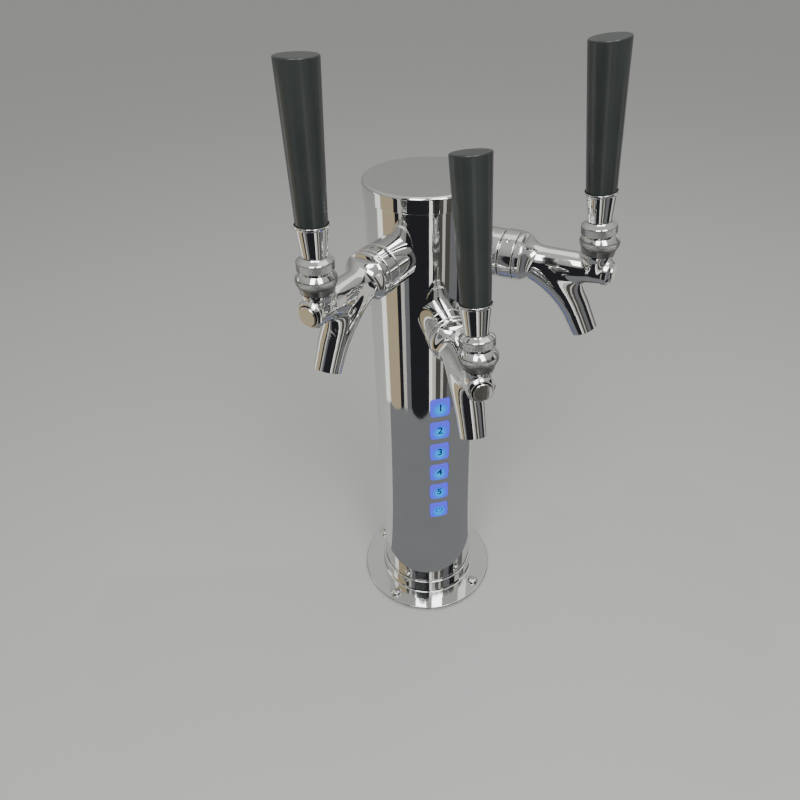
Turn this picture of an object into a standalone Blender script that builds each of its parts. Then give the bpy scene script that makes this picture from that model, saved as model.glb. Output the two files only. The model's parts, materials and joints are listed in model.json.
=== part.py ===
"""Draft beer tower: a chromed column on a screwed-down flange, three lever faucets and six lit keys.

The row frame is in metres with +Z up. The front faucet points along -Y, and the base stands on z = 0.
Sizes are in millimetres, and a distance called "reach" is measured outwards from the column's axis.
"""

import math

import bmesh
import bpy
from mathutils import Matrix, Vector

MM = 0.001
GAP = 0.3  # between pieces that bear on each other

# Column, cap and base
COLUMN_R = 50.8
COLUMN_WALL = 1.5
COLUMN_TOP = 478.6
CAP_TOP = 481.0
CAP_BOTTOM = 468.0
CAP_R = 52.2
GASKET_TOP = 1.2
FLANGE_R = 76.2
FLANGE_TOP = 4.6
NECK_R = 53.4
NECK_TOP = 21.6
LINE_OPENING_R = 48.4  # the way down through the counter for the beer lines
SCREW_CIRCLE_R = 66.5
SCREW_HOLE_R = 3.3
SCREW_TURN = -3.9  # degrees that the screw pattern is turned from the diagonals

# Faucets: degrees from the front, height of the shank, and how far the closed lever leans back and
# sideways, in degrees. Each faucet sits a little differently, as its nuts and stops were set by hand.
FAUCETS = {
    "left": (-46.0, 429.3, 2.0, 0.5),
    "front": (0.0, 377.0, 9.0, -1.5),
    "right": (49.5, 427.2, 5.5, -3.2),
}
SHANK_START = 26.0
SHANK_R = 11.1
SHANK_BORE_R = 4.0
COLLAR_R = 19.4
COLLAR_END = 70.2
NUT_START = 70.7
NUT_END = 82.7
NUT_R = 20.0
BODY_TAIL = 77.6
BODY_SHOULDER = 83.0
STEM_REACH = 143.4  # the vertical axis of the bonnet, on which the lever turns
BOSS_RIM = 154.2
BOSS_RIM_R = 10.9
BOSS_END = 156.4
SHAFT_FRONT = 158.0
SHAFT_R = 7.3
SHAFT_FACE_R = 6.9
FRONT_BORE_R = 8.0
SOCKET_R = 10.9
SOCKET_TOP = 14.3
PIVOT_Z = 16.0  # the lever's ball, above the shank's axis
BALL_R = 7.2
FINGER_R = 3.0
LEVER_STEM_R = 3.0
GRIP_END = 141.2  # above the ball, along the lever
GRIP_TOP_R = 13.6
SPOUT_MOUTH = (143.2, -53.0)  # reach, and height above the shank's axis
SPOUT_LEAN = 28.0  # degrees from the vertical
SPOUT_BORE_R = 6.2
SPANNER_HOLE_TURN = 35.0

# Lit keys, on the front of the column
KEY_COUNT = 6
KEY_PITCH = 27.65
KEY_TOP_Z = 282.0
KEY_WIDTH = 19.0
KEY_HEIGHT = 20.6
KEY_CORNER = 3.2
KEY_STAND = 0.9  # how far a key stands proud of the column
KEY_BACK = 46.0
KEY_LIP = 1.9  # how far the lip behind the column's wall stands out round a key
BOARD_FRONT = 42.0
BOARD_THICKNESS = 1.6
BOARD_TOP = KEY_TOP_Z + 14.0
BOARD_BOTTOM = KEY_TOP_Z - (KEY_COUNT - 1) * KEY_PITCH - 28.0
BRACKET_FRONT = 40.1
BRACKET_THICKNESS = 2.0


def side_extent(azimuth):
    """How far a side faucet reaches across: its plug or the rim of its boss, whichever is further."""
    turn = math.radians(abs(azimuth))
    rims = ((SHAFT_FRONT, SHAFT_FACE_R), (SHAFT_FRONT - 0.4, SHAFT_R), (BOSS_RIM, BOSS_RIM_R))
    return max(reach * math.sin(turn) + radius * math.cos(turn) for reach, radius in rims)


# The axis stands off the frame's origin so that the origin is the centre of the whole footprint
AXIS_X = (side_extent(FAUCETS["left"][0]) - side_extent(FAUCETS["right"][0])) / 2
AXIS_Y = (SHAFT_FRONT - FLANGE_R) / 2


# ---------------------------------------------------------------- materials and objects
def material(name, colour, roughness, metallic=0.0):
    made = bpy.data.materials.new(name)
    made.use_nodes = True
    shader = made.node_tree.nodes["Principled BSDF"]
    shader.inputs["Base Color"].default_value = (*colour, 1.0)
    shader.inputs["Roughness"].default_value = roughness
    shader.inputs["Metallic"].default_value = metallic
    return made


def materials():
    return {
        "chrome": material("chrome", (0.78, 0.78, 0.78), 0.06, 1.0),
        "brass": material("brass", (0.72, 0.55, 0.28), 0.3, 1.0),
        "black_plastic": material("black_plastic", (0.03, 0.035, 0.037), 0.32),
        "rubber": material("rubber", (0.02, 0.02, 0.02), 0.8),
        "key_plastic": material("key_plastic", (0.35, 0.5, 1.0), 0.35),
        "board": material("board", (0.05, 0.22, 0.1), 0.5),
        "bracket": material("bracket", (0.6, 0.6, 0.62), 0.4, 1.0),
    }


def empty(name, location, turn=(0, 0, 0), parent=None):
    """A reference point, with its place in mm and its turn in degrees."""
    made = bpy.data.objects.new(name, None)
    made.location = Vector(location) * MM
    made.rotation_euler = [math.radians(angle) for angle in turn]
    made.parent = parent
    bpy.context.scene.collection.objects.link(made)
    return made


def place(name, mesh, finish, parent):
    """A sub-part in the scene, at its parent's origin."""
    made = bpy.data.objects.new(name, mesh)
    made.parent = parent
    if not mesh.materials:
        mesh.materials.append(finish)
    bpy.context.scene.collection.objects.link(made)
    return made


# ---------------------------------------------------------------- shapes
def smooth(mesh, sharp_degrees=35):
    mesh.shade_smooth()
    mesh.set_sharp_from_angle(angle=math.radians(sharp_degrees))
    return mesh


def mesh_of(bm, name):
    bmesh.ops.remove_doubles(bm, verts=bm.verts, dist=1e-7)
    bmesh.ops.recalc_face_normals(bm, faces=bm.faces)
    mesh = bpy.data.meshes.new(name)
    bm.to_mesh(mesh)
    bm.free()
    return smooth(mesh)


def turned(name, profile, steps=24, outwards=False):
    """A turned piece. profile holds (place along the axis, radius) in mm, in order round the section.

    A section that starts and ends at radius 0 makes a solid, and any other is closed into a ring.
    The axis is Z, or with outwards set the line from the column out along -Y.
    """
    bm = bmesh.new()
    verts = [bm.verts.new(Vector((radius, 0, along)) * MM) for along, radius in profile]
    edges = [bm.edges.new(pair) for pair in zip(verts, verts[1:])]
    if profile[0][1] or profile[-1][1]:
        edges.append(bm.edges.new((verts[-1], verts[0])))
    bmesh.ops.spin(
        bm, geom=verts + edges, cent=(0, 0, 0), axis=(0, 0, 1), angle=math.tau, steps=steps,
        use_merge=True,
    )
    if outwards:
        bmesh.ops.transform(bm, matrix=Matrix.Rotation(math.radians(90), 4, "X"), verts=bm.verts)
    return mesh_of(bm, name)


def swept(name, path, radii, steps=16, bore=None):
    """A round piece along a path of (reach, height) points in mm. It is a pipe where bore is given."""
    centres = [Vector((0, -reach, height)) for reach, height in path]
    bm = bmesh.new()

    def rings(sizes):
        made = []
        for i, (centre, radius) in enumerate(zip(centres, sizes)):
            along = (centres[min(i + 1, len(centres) - 1)] - centres[max(i - 1, 0)]).normalized()
            side = Vector((1, 0, 0))
            up = along.cross(side)
            made.append([
                bm.verts.new((centre + radius * (math.cos(turn) * side + math.sin(turn) * up)) * MM)
                for turn in (math.tau * k / steps for k in range(steps))
            ])
        return made

    def bridge(first, second):
        for k in range(steps):
            bm.faces.new((first[k], first[(k + 1) % steps], second[(k + 1) % steps], second[k]))

    outer = rings(radii)
    for pair in zip(outer, outer[1:]):
        bridge(*pair)
    if bore is None:
        bm.faces.new(outer[0])
        bm.faces.new(outer[-1])
    else:
        inner = rings([bore] * len(centres))
        for pair in zip(inner, inner[1:]):
            bridge(*pair)
        bridge(outer[0], inner[0])
        bridge(outer[-1], inner[-1])
    return mesh_of(bm, name)


def block(name, size, centre):
    """A box, with its size and centre in mm."""
    bm = bmesh.new()
    bmesh.ops.create_cube(bm, size=1.0)
    bmesh.ops.scale(bm, vec=Vector(size) * MM, verts=bm.verts)
    bmesh.ops.translate(bm, vec=Vector(centre) * MM, verts=bm.verts)
    return mesh_of(bm, name)


def rounded_prism(name, width, height, corner, back, front, z, steps=3):
    """A rounded rectangle across X and Z at height z, run out from reach back to reach front."""
    bm = bmesh.new()
    outline = []
    for quarter, (side, up) in enumerate(((1, 1), (-1, 1), (-1, -1), (1, -1))):
        centre = Vector((side * (width / 2 - corner), 0, up * (height / 2 - corner)))
        for k in range(steps + 1):
            turn = math.radians(90 * (quarter + k / steps))
            outline.append(centre + corner * Vector((math.cos(turn), 0, math.sin(turn))))
    face = bm.faces.new([bm.verts.new((point + Vector((0, -back, z))) * MM) for point in outline])
    made = bmesh.ops.extrude_face_region(bm, geom=[face])
    moved = [item for item in made["geom"] if isinstance(item, bmesh.types.BMVert)]
    bmesh.ops.translate(bm, vec=Vector((0, back - front, 0)) * MM, verts=moved)
    return mesh_of(bm, name)


def hexagon(name, across_flats, bore, start, end):
    """A hexagon nut on the outward axis, from reach start to reach end."""
    bm = bmesh.new()
    corner = across_flats / math.sqrt(3) * MM
    bmesh.ops.create_cone(
        bm, cap_ends=True, segments=6, radius1=corner, radius2=corner, depth=(end - start) * MM
    )
    bmesh.ops.transform(bm, matrix=Matrix.Rotation(math.radians(90), 4, "X"), verts=bm.verts)
    bmesh.ops.translate(bm, vec=Vector((0, -(start + end) / 2, 0)) * MM, verts=bm.verts)
    section = ((start - 1, 0), (start - 1, bore), (end + 1, bore), (end + 1, 0))
    hole = turned("hole", section, 16, outwards=True)
    return combined(name, mesh_of(bm, name), ("DIFFERENCE", hole))


def combined(name, base, *steps):
    """The mesh of base after each (operation, mesh) is joined to it or cut from it."""
    body = bpy.data.objects.new(name, base)
    bpy.context.scene.collection.objects.link(body)
    tools = []
    for operation, mesh in steps:
        tool = bpy.data.objects.new(name + "_tool", mesh)
        tool.hide_render = True
        tool.display_type = "WIRE"
        bpy.context.scene.collection.objects.link(tool)
        tools.append(tool)
        modifier = body.modifiers.new(operation.lower(), "BOOLEAN")
        modifier.operation = operation
        modifier.object = tool
    graph = bpy.context.evaluated_depsgraph_get()
    mesh = bpy.data.meshes.new_from_object(body.evaluated_get(graph))
    mesh.name = name
    for obj in [body, *tools]:
        bpy.data.objects.remove(obj)
    return smooth(mesh)


def turned_about_z(mesh, degrees):
    mesh.transform(Matrix.Rotation(math.radians(degrees), 4, "Z"))
    return mesh


def raised(mesh, height):
    mesh.transform(Matrix.Translation((0, 0, height * MM)))
    return mesh


# ---------------------------------------------------------------- column, cap and base
def key_heights():
    return [KEY_TOP_Z - KEY_PITCH * k for k in range(KEY_COUNT)]


def column_tube():
    inner = COLUMN_R - COLUMN_WALL
    bottom = FLANGE_TOP + GAP
    section = ((bottom, inner), (bottom, COLUMN_R), (COLUMN_TOP, COLUMN_R), (COLUMN_TOP, inner))
    tube = turned("column_tube", section, 48)
    cuts = []
    for azimuth, height, *_ in FAUCETS.values():
        hole = turned("shank_hole", ((30, 0), (30, 11.6), (60, 11.6), (60, 0)), 16, outwards=True)
        cuts.append(("DIFFERENCE", turned_about_z(raised(hole, height), azimuth)))
    for height in key_heights():
        window = rounded_prism(
            "window", KEY_WIDTH + 2 * GAP, KEY_HEIGHT + 2 * GAP, KEY_CORNER + GAP, 40, 60, height
        )
        cuts.append(("DIFFERENCE", window))
    return combined("column_tube", tube, *cuts)


def top_cap():
    skirt_in = COLUMN_R + GAP
    crown = CAP_TOP - 1.8
    section = (
        (crown, 0), (crown, 44.6), (466.0, 44.6), (466.0, 46.2), (crown, 46.2), (crown, skirt_in),
        (CAP_BOTTOM, skirt_in), (CAP_BOTTOM, CAP_R), (CAP_TOP - 2.6, CAP_R),
        (CAP_TOP - 0.8, CAP_R - 0.8), (CAP_TOP, CAP_R - 2.8), (CAP_TOP, 0),
    )
    return turned("top_cap", section, 40)


def cap_seal():
    return turned("cap_seal", ((467.4, 46.8), (467.4, 49.0), (474.6, 49.0), (474.6, 46.8)), 28)


def base_flange():
    low = GASKET_TOP + GAP
    section = (
        (low, LINE_OPENING_R), (low, FLANGE_R), (FLANGE_TOP - 1.0, FLANGE_R),
        (FLANGE_TOP, FLANGE_R - 1.2), (FLANGE_TOP, NECK_R + 1.4), (FLANGE_TOP + 1.4, NECK_R),
        (NECK_TOP - 1.0, NECK_R), (NECK_TOP, NECK_R - 0.9), (NECK_TOP, COLUMN_R + GAP),
        (FLANGE_TOP, COLUMN_R + GAP), (FLANGE_TOP, LINE_OPENING_R),
    )
    holes = []
    for azimuth in screw_azimuths():
        hole = turned("screw_hole", ((-1, 0), (-1, SCREW_HOLE_R), (9, SCREW_HOLE_R), (9, 0)), 10)
        holes.append(("DIFFERENCE", screw_placed(hole, azimuth)))
    return combined("base_flange", turned("base_flange", section, 36), *holes)


def base_gasket():
    section = ((0, 49.4), (0, 75.0), (GASKET_TOP, 75.0), (GASKET_TOP, 49.4))
    ring = turned("base_gasket", section, 28)
    holes = []
    for azimuth in screw_azimuths():
        hole = turned("screw_hole", ((-1, 0), (-1, SCREW_HOLE_R), (9, SCREW_HOLE_R), (9, 0)), 10)
        holes.append(("DIFFERENCE", screw_placed(hole, azimuth)))
    return combined("base_gasket", ring, *holes)


def screw_azimuths():
    return [SCREW_TURN + 45 + 90 * k for k in range(4)]


def screw_placed(mesh, azimuth):
    mesh.transform(Matrix.Translation((0, -SCREW_CIRCLE_R * MM, 0)))
    return turned_about_z(mesh, azimuth)


def mounting_screw():
    """A pan-head screw, cut off level with the counter, with its cross recess."""
    seat = FLANGE_TOP + GAP
    section = (
        (0.4, 0), (0.4, 2.7), (seat, 2.7), (seat, 6.4), (seat + 1.6, 6.3), (seat + 3.0, 4.9),
        (seat + 3.8, 2.6), (seat + 4.0, 0),
    )
    middle = (0, 0, seat + 3.8)
    slots = [
        ("DIFFERENCE", block("slot", size, middle)) for size in ((5.6, 1.3, 3.2), (1.3, 5.6, 3.2))
    ]
    return combined("mounting_screw", turned("mounting_screw", section, 12), *slots)


# ---------------------------------------------------------------- one faucet, on its shank
def shank():
    section = (
        (SHANK_START, SHANK_BORE_R), (SHANK_START, SHANK_R), (73.3, SHANK_R), (73.3, 13.9),
        (75.6, 13.9), (75.6, SHANK_BORE_R),
    )
    return turned("shank", section, 12, outwards=True)


def shank_collar():
    """The sleeve between the column and the coupling nut, cut to sit on the column."""
    section = (
        (44, SHANK_R + GAP), (44, COLLAR_R), (68.4, COLLAR_R), (COLLAR_END, COLLAR_R - 1.2),
        (COLLAR_END, SHANK_R + GAP),
    )
    saddle = turned("saddle", ((-40, 0), (-40, COLUMN_R + GAP), (40, COLUMN_R + GAP), (40, 0)), 64)
    sleeve = turned("shank_collar", section, 18, outwards=True)
    return combined("shank_collar", sleeve, ("DIFFERENCE", saddle))


def shank_nut():
    return hexagon("shank_nut", 32.0, SHANK_R + GAP, 37.6, 46.0)


def tailpiece():
    """The elbow for the beer line: its joint flange against the shank, then two barbs pointing down."""
    leg = 13.0
    path = [
        (SHANK_START - GAP, 0), (22.6, 0), (22.5, 0), (17.0, 0), (leg, -4.0), (leg, -11.0),
        (leg, -11.1), (leg, -16.0), (leg, -16.1), (leg, -21.0),
    ]
    radii = [9.2, 9.2, 4.2, 4.2, 4.2, 3.6, 4.8, 3.6, 4.8, 3.4]
    return swept("tailpiece", path, radii, 8, bore=2.4)


def coupling_nut():
    section = (
        (NUT_START, SHANK_R + 0.5), (NUT_START, NUT_R - 1.4), (NUT_START + 1.4, NUT_R),
        (NUT_END - 1.2, NUT_R), (NUT_END, NUT_R - 0.8), (NUT_END, 14.5), (73.0, 14.5),
        (73.0, SHANK_R + 0.5),
    )
    spanner_hole = turned("spanner_hole", ((16.5, 0), (16.5, 1.8), (24, 1.8), (24, 0)), 8)
    spanner_hole.transform(Matrix.Translation((0, -76.8 * MM, 0)))
    around = Matrix.Rotation(math.radians(SPANNER_HOLE_TURN), 4, "Y")
    spanner_hole.transform(around)
    nut = turned("coupling_nut", section, 18, outwards=True)
    return combined("coupling_nut", nut, ("DIFFERENCE", spanner_hole))


def coupling_washer():
    section = ((75.9, 5.0), (75.9, 13.8), (77.3, 13.8), (77.3, 5.0))
    return turned("coupling_washer", section, 12, outwards=True)


def curve(start, start_pull, end_pull, end, steps):
    """Points along a cubic curve from start to just before end, pulled towards the middle points."""
    points = []
    for k in range(steps):
        t = k / steps
        weights = ((1 - t) ** 3, 3 * (1 - t) ** 2 * t, 3 * (1 - t) * t * t, t**3)
        points.append(tuple(
            sum(weight * point[i] for weight, point in zip(weights, (start, start_pull, end_pull, end)))
            for i in range(2)
        ))
    return points


def spout_path():
    """The middle of the spout, from inside the arm round and down to its mouth."""
    lean = math.radians(SPOUT_LEAN)
    reach, height = SPOUT_MOUTH

    def above_mouth(distance):
        return (reach - distance * math.sin(lean), height + distance * math.cos(lean))

    bend = curve((96.0, -4.0), (111.0, -9.0), above_mouth(36.0), above_mouth(18.0), 5)
    return [*bend, above_mouth(18.0), above_mouth(0.0)], above_mouth(-2.0)


def faucet_body():
    arm = turned("arm", (
        (BODY_TAIL, 0), (BODY_TAIL, 14.2), (BODY_SHOULDER, 14.2), (BODY_SHOULDER, 19.5),
        (86.4, 19.5), (88.6, 17.9), (91.5, 15.6), (95.6, 13.3), (100.0, 12.0), (106.0, 11.5),
        (131.0, 11.3), (139.0, 11.0), (149.4, 10.4), (151.4, BOSS_RIM_R), (BOSS_RIM, BOSS_RIM_R),
        (155.6, 10.1), (BOSS_END, 8.8), (BOSS_END, 0),
    ), 16, outwards=True)
    neck = ((0, 0), (0, SOCKET_R), (SOCKET_TOP, SOCKET_R), (SOCKET_TOP, 9.4), (18.6, 9.4), (18.6, 0))
    socket = turned("socket", neck, 16)
    path, past_mouth = spout_path()
    spout = swept("spout", path, [11.0, 12.8, 13.2, 12.9, 12.4, 11.8, 10.8], 12)
    waterway = swept("waterway", [*path[1:-1], past_mouth], [SPOUT_BORE_R] * 6, 8)
    chamber = turned("chamber", (
        (BODY_TAIL - 1, 0), (BODY_TAIL - 1, 9.5), (100.6, 9.5), (102.8, 5.2), (121.8, 5.2),
        (121.8, FRONT_BORE_R), (BOSS_END + 1, FRONT_BORE_R), (BOSS_END + 1, 0),
    ), 12, outwards=True)
    turns = [math.radians(angle) for angle in (-24, -12, 0)]
    seat = [(PIVOT_Z + 7.6 * math.sin(turn), 7.6 * math.cos(turn)) for turn in turns]
    ball_seat = turned("ball_seat", [(0, 0), (0, seat[0][1]), *seat, (20, 7.6), (20, 0)], 12)
    for mesh in (socket, ball_seat):
        mesh.transform(Matrix.Translation((0, -STEM_REACH * MM, 0)))
    return combined(
        "faucet_body", arm, ("UNION", spout), ("UNION", socket), ("DIFFERENCE", chamber),
        ("DIFFERENCE", waterway), ("DIFFERENCE", ball_seat),
    )


def bonnet():
    """The knurled cap that holds the lever's ball down on the body, measured from the ball's centre."""
    low = SOCKET_TOP + GAP - PIVOT_Z
    seat = [(7.6 * math.sin(turn), 7.6 * math.cos(turn)) for turn in map(math.radians, (22, 35))]
    section = (
        (low, 9.7), (low, 11.9), (0.6, 13.0), (6.8, 14.8), (7.8, 14.7), (9.6, 13.5), (12.0, 11.3),
        (12.0, 9.3), *reversed(seat), (3.0, 9.7),
    )
    return turned("bonnet", section, 16)


def lever():
    """The lever from its finger in the valve shaft, through its ball, to the stud for the handle."""
    section = [(-PIVOT_Z - FINGER_R, 0)]
    for angle in (-45, 0, 50):
        turn = math.radians(angle)
        section.append((-PIVOT_Z + FINGER_R * math.sin(turn), FINGER_R * math.cos(turn)))
    section.append((-BALL_R * 0.965, 1.9))
    for angle in (-50, -22, 8, 36, 58):
        turn = math.radians(angle)
        section.append((BALL_R * math.sin(turn), BALL_R * math.cos(turn)))
    section += [(7.4, LEVER_STEM_R), (15.4, LEVER_STEM_R), (15.4, 4.6), (39.0, 4.6), (39.0, 0)]
    return turned("lever", section, 10)


def lock_ring():
    """The knurled ring that locks the handle, hollowed beneath to swing clear of the bonnet."""
    turns = [math.radians(angle) for angle in (17, 29, 41)]
    hollow = [(17.2 * math.cos(turn), 17.2 * math.sin(turn)) for turn in turns]
    section = (
        (hollow[0][0], 4.9), *hollow, (13.2, 12.0), (14.3, 13.1), (20.3, 13.1), (20.9, 12.6),
        (22.9, 10.0), (23.6, 9.5), (23.6, 4.9),
    )
    return turned("lock_ring", section, 16)


def handle_ferrule():
    section = (
        (23.9, 4.9), (23.9, 9.0), (26.0, 9.2), (43.0, 11.5), (44.0, 12.3), (45.0, 12.3),
        (45.4, 11.9), (45.4, 11.4), (41.0, 10.6), (41.0, 4.9),
    )
    return turned("handle_ferrule", section, 16)


def handle_grip():
    section = (
        (41.3, 0), (41.3, 10.2), (45.6, 11.0), (GRIP_END - 1.7, GRIP_TOP_R),
        (GRIP_END - 0.5, GRIP_TOP_R - 0.6), (GRIP_END, GRIP_TOP_R - 1.9), (GRIP_END, 0),
    )
    return turned("handle_grip", section, 16)


def valve_shaft(rest_tilt):
    """The rod that the lever's finger pushes back: rear nut, thin rod, and the slotted front end.

    The slot lies where the finger is when the lever leans back by rest_tilt degrees.
    """
    section = (
        (91.0, 0), (91.0, 4.8), (95.4, 4.8), (95.4, 3.0), (131.0, 3.0), (131.0, SHAFT_R),
        (SHAFT_FRONT - 0.4, SHAFT_R), (SHAFT_FRONT, SHAFT_FACE_R), (SHAFT_FRONT, 0),
    )
    rod = turned("valve_shaft", section, 12, outwards=True)
    rest = STEM_REACH + PIVOT_Z * math.sin(math.radians(rest_tilt))
    finger = FINGER_R + 0.4
    across = 2 * (FINGER_R + 1.9)  # wide enough for the lever's sideways lean
    slot = block("slot", (across, 2 * finger, 12), (0, -rest, 6 - finger))
    neck = block("neck", (across, finger + 5.4, 8), (0, -(rest + (5.4 - finger) / 2), 6.2))
    return combined("valve_shaft", rod, ("DIFFERENCE", slot), ("DIFFERENCE", neck))


def seat_washer():
    section = ((95.8, 3.3), (95.8, 8.6), (100.3, 8.6), (100.3, 3.3))
    return turned("seat_washer", section, 10, outwards=True)


def build_faucets(finish, axis):
    """Three like faucets, each on an empty at its shank and with its lever on an empty at the ball."""
    on_shank = {
        "shank": (shank(), "chrome"),
        "shank_collar": (shank_collar(), "chrome"),
        "shank_nut": (shank_nut(), "brass"),
        "tailpiece": (tailpiece(), "brass"),
        "coupling_nut": (coupling_nut(), "chrome"),
        "coupling_washer": (coupling_washer(), "rubber"),
        "faucet_body": (faucet_body(), "chrome"),
        "seat_washer": (seat_washer(), "rubber"),
    }
    on_lever = {
        "lever": (lever(), "chrome"),
        "lock_ring": (lock_ring(), "chrome"),
        "ferrule": (handle_ferrule(), "chrome"),
        "handle_grip": (handle_grip(), "black_plastic"),
    }
    cap = bonnet()
    for side, (azimuth, height, tilt, lean) in FAUCETS.items():
        arm = empty(f"{side}_faucet_axis", (0, 0, height), (0, 0, azimuth), axis)
        stem = empty(f"{side}_stem_axis", (0, -STEM_REACH, PIVOT_Z), (0, 0, 0), arm)
        pivot = empty(f"{side}_lever_pivot", (0, 0, 0), (-tilt, lean, 0), stem)
        for name, (mesh, slot) in on_shank.items():
            place(f"{side}_{name}", mesh, finish[slot], arm)
        place(f"{side}_valve_shaft", valve_shaft(tilt), finish["chrome"], arm)
        place(f"{side}_bonnet", cap, finish["chrome"], stem)
        for name, (mesh, slot) in on_lever.items():
            place(f"{side}_{name}", mesh, finish[slot], pivot)


# ---------------------------------------------------------------- lit keys and what carries them
def key():
    """One key: a face that follows the column, and a lip behind the column's wall."""
    face = rounded_prism("key", KEY_WIDTH, KEY_HEIGHT, KEY_CORNER, 30, 60, 0)
    skin = turned("skin", (
        (-20, KEY_BACK), (-20, COLUMN_R + KEY_STAND), (20, COLUMN_R + KEY_STAND), (20, KEY_BACK)
    ), 96)
    lip_width = KEY_WIDTH + 2 * KEY_LIP
    lip_height = KEY_HEIGHT + 2 * KEY_LIP
    lip = rounded_prism("lip", lip_width, lip_height, KEY_CORNER + 1, 30, 60, 0)
    lip_front = COLUMN_R - COLUMN_WALL - GAP
    lip_skin = turned("lip_skin", (
        (-20, KEY_BACK - 0.5), (-20, lip_front), (20, lip_front), (20, KEY_BACK - 0.5)
    ), 96)
    lip_mesh = combined("lip", lip, ("INTERSECT", lip_skin))
    return combined("key", face, ("INTERSECT", skin), ("UNION", lip_mesh))


def key_board():
    """The circuit board, with a push switch and a lamp behind each key."""
    middle = (BOARD_TOP + BOARD_BOTTOM) / 2
    size = (30, BOARD_THICKNESS, BOARD_TOP - BOARD_BOTTOM)
    board = block("key_board", size, (0, BOARD_THICKNESS / 2 - BOARD_FRONT, middle))
    bits = []
    for height in key_heights():
        bits.append(("UNION", block("switch", (6.2, 2.5, 6.2), (0, -(BOARD_FRONT + 0.75), height))))
        bits.append(("UNION", block("lamp", (5.0, 2.0, 3.0), (0, -(BOARD_FRONT + 0.6), height + 7.2))))
    return combined("key_board", board, *bits)


def key_bracket():
    """The bent plate that carries the board off the inside of the column, with a tab at each end."""
    low, high = BOARD_BOTTOM - 6.0, BOARD_TOP + 6.0
    plate_size = (34, BRACKET_THICKNESS, high - low)
    plate_middle = (0, BRACKET_THICKNESS / 2 - BRACKET_FRONT, (low + high) / 2)
    plate = block("key_bracket", plate_size, plate_middle)
    steps = []
    for tab_z in (low + BRACKET_THICKNESS / 2, high - BRACKET_THICKNESS / 2):
        tab = block("tab", (34, 12.0, BRACKET_THICKNESS), (0, -(BRACKET_FRONT + 5.0), tab_z))
        steps.append(("UNION", tab))
    inside = COLUMN_R - COLUMN_WALL - GAP
    bore = turned("bore", ((0, 0), (0, inside), (400, inside), (400, 0)), 64)
    return combined("key_bracket", plate, *steps, ("INTERSECT", bore))


def cable_socket():
    """The socket at the bottom of the board that the control cable plugs into."""
    reach = BOARD_FRONT + GAP + 3.0
    shell = block("cable_socket", (12, 6.0, 8), (0, -reach, BOARD_BOTTOM + 5.0))
    mouth = block("mouth", (9.6, 4.4, 8), (0, -reach, BOARD_BOTTOM + 3.0))
    return combined("cable_socket", shell, ("DIFFERENCE", mouth))


def build_keys(finish, axis):
    mesh = key()
    for number, height in enumerate(key_heights(), start=1):
        slide = empty(f"key_{number}_axis", (0, 0, height), parent=axis)
        place(f"key_{number}", mesh, finish["key_plastic"], slide)
    place("key_board", key_board(), finish["board"], axis)
    place("key_bracket", key_bracket(), finish["bracket"], axis)
    place("cable_socket", cable_socket(), finish["black_plastic"], axis)


def build_column(finish, axis):
    place("column_tube", column_tube(), finish["chrome"], axis)
    place("top_cap", top_cap(), finish["chrome"], axis)
    place("cap_seal", cap_seal(), finish["rubber"], axis)
    place("base_flange", base_flange(), finish["chrome"], axis)
    place("base_gasket", base_gasket(), finish["rubber"], axis)
    screw = mounting_screw()
    for number, azimuth in enumerate(screw_azimuths(), start=1):
        turn = math.radians(azimuth)
        spot = (SCREW_CIRCLE_R * math.sin(turn), -SCREW_CIRCLE_R * math.cos(turn), 0)
        hole = empty(f"screw_{number}_axis", spot, (0, 0, 17 * number), axis)
        place(f"mounting_screw_{number}", screw, finish["chrome"], hole)


def main():
    for obj in list(bpy.data.objects):
        bpy.data.objects.remove(obj)
    finish = materials()
    axis = empty("column_axis", (AXIS_X, AXIS_Y, 0))
    build_column(finish, axis)
    build_faucets(finish, axis)
    build_keys(finish, axis)


main()
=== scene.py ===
"""The looks of the draft beer tower: mirror chrome, knurling, dark handles and lit keys round the CAD frame.

Sizes are in millimetres, and turned into metres where a mesh is made. A "reach" is a distance out from the
column's axis. A faucet's own axes are x across it, y up and z outwards from the column's axis at the shank's
height.
"""

import json
import math

import bmesh
import bpy
import numpy as np
from mathutils import Matrix, Vector


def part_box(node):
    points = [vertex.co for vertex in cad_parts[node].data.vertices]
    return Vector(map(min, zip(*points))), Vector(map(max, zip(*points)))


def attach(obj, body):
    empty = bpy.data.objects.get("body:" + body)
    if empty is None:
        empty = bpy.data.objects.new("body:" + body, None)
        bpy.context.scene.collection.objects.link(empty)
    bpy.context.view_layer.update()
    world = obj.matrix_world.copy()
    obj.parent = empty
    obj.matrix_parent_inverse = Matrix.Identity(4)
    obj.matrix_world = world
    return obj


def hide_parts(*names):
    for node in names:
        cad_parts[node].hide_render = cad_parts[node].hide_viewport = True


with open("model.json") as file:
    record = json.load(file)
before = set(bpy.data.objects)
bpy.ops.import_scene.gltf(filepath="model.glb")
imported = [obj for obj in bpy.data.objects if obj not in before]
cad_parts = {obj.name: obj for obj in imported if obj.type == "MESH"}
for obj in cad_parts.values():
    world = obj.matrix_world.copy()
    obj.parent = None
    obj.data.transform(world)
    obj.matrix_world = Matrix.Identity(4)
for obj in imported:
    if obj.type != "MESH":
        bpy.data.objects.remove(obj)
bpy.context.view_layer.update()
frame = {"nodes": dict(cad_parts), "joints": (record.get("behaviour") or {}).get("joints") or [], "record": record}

MM = 0.001

# Clearance between pieces, and how many flats there are round a turned piece
GAP = 0.3
COLUMN_STEPS = 192
ROUND_STEPS = 128

# Camera, from the column's axis on the counter
CAMERA_PLACE = (-128.24, -488.84, 642.6)
CAMERA_HEADING = 11.62
CAMERA_DIP = 37.55
CAMERA_ROLL = -2.08
CAMERA_LENS = 27.98

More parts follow.
